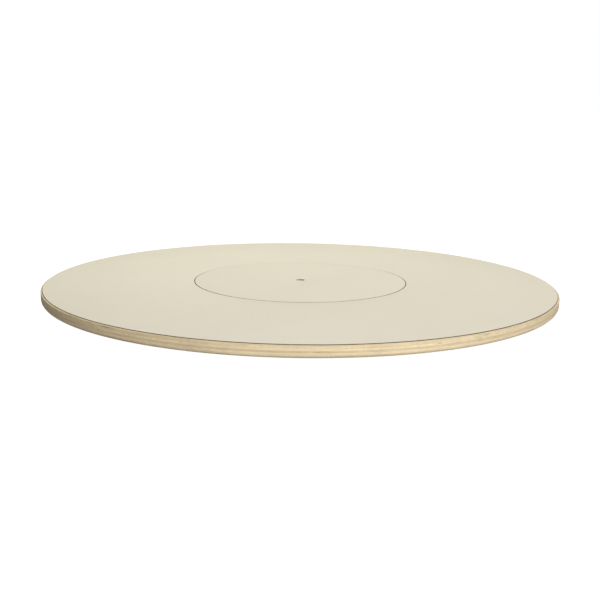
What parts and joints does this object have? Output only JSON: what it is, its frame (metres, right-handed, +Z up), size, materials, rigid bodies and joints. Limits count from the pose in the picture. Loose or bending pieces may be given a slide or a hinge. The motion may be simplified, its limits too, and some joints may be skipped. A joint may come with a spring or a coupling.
{
  "type": "lazy susan turntable",
  "caption": "Large round laminated plywood turntable: an outer ring turns on a caged ball swivel around a fixed centre disc, on a round base with rubber feet.",
  "frame": {"origin": "on the surface that the feet stand on, on the axis that the ring turns about", "axes": "+Z up, along the turning axis; +X and +Y along the board, alike by its round shape"},
  "size_m": [0.9144, 0.9144, 0.056],
  "materials": {
    "plywood": "clear satin lacquer on bare edges",
    "laminate": "cream satin high-pressure laminate",
    "backer": "brown matte backing sheet",
    "swivel_aluminium": "plain satin",
    "cage_nylon": "natural white",
    "ball_steel": "polished",
    "zinc_plated_steel": "bright zinc plate",
    "foot_rubber": "matte black"
  },
  "bodies": {
    "base": {"base_plate": "plywood", "swivel_outer_ring": "swivel_aluminium", "base_ring_screw_1": "zinc_plated_steel", "base_ring_screw_2": "zinc_plated_steel", "base_ring_screw_3": "zinc_plated_steel", "base_ring_screw_4": "zinc_plated_steel", "base_ring_screw_5": "zinc_plated_steel", "base_ring_screw_6": "zinc_plated_steel", "foot_1": "foot_rubber", "foot_2": "foot_rubber", "foot_3": "foot_rubber", "foot_4": "foot_rubber", "foot_5": "foot_rubber", "foot_6": "foot_rubber", "foot_screw_1": "zinc_plated_steel", "foot_screw_2": "zinc_plated_steel", "foot_screw_3": "zinc_plated_steel", "foot_screw_4": "zinc_plated_steel", "foot_screw_5": "zinc_plated_steel", "foot_screw_6": "zinc_plated_steel", "centre_spacer": "plywood", "centre_core": "plywood", "centre_laminate": "laminate", "centre_backer": "backer", "centre_screw_1": "zinc_plated_steel", "centre_screw_2": "zinc_plated_steel", "centre_screw_3": "zinc_plated_steel", "centre_screw_4": "zinc_plated_steel"},
    "turntable": {"turntable_core": "plywood", "turntable_laminate": "laminate", "turntable_backer": "backer", "swivel_inner_ring": "swivel_aluminium", "turntable_screw_1": "zinc_plated_steel", "turntable_screw_2": "zinc_plated_steel", "turntable_screw_3": "zinc_plated_steel", "turntable_screw_4": "zinc_plated_steel", "turntable_screw_5": "zinc_plated_steel", "turntable_screw_6": "zinc_plated_steel"},
    "cage": {"ball_cage": "cage_nylon", "bearing_ball_01": "ball_steel", "bearing_ball_02": "ball_steel", "bearing_ball_03": "ball_steel", "bearing_ball_04": "ball_steel", "bearing_ball_05": "ball_steel", "bearing_ball_06": "ball_steel", "bearing_ball_07": "ball_steel", "bearing_ball_08": "ball_steel", "bearing_ball_09": "ball_steel", "bearing_ball_10": "ball_steel", "bearing_ball_11": "ball_steel", "bearing_ball_12": "ball_steel", "bearing_ball_13": "ball_steel", "bearing_ball_14": "ball_steel", "bearing_ball_15": "ball_steel", "bearing_ball_16": "ball_steel", "bearing_ball_17": "ball_steel", "bearing_ball_18": "ball_steel", "bearing_ball_19": "ball_steel", "bearing_ball_20": "ball_steel"}
  },
  "joints": [
    {"name": "turntable_spin", "type": "hinge", "parent": "base", "child": "turntable", "pos_m": [0, 0, 0], "axis": [0, 0, 1], "continuous": true},
    {"name": "cage_orbit", "type": "hinge", "parent": "base", "child": "cage", "pos_m": [0, 0, 0], "axis": [0, 0, 1], "continuous": true}
  ],
  "couplings": [
    {"joint": "cage_orbit", "follows": "turntable_spin", "ratio": 0.4954}
  ]
}
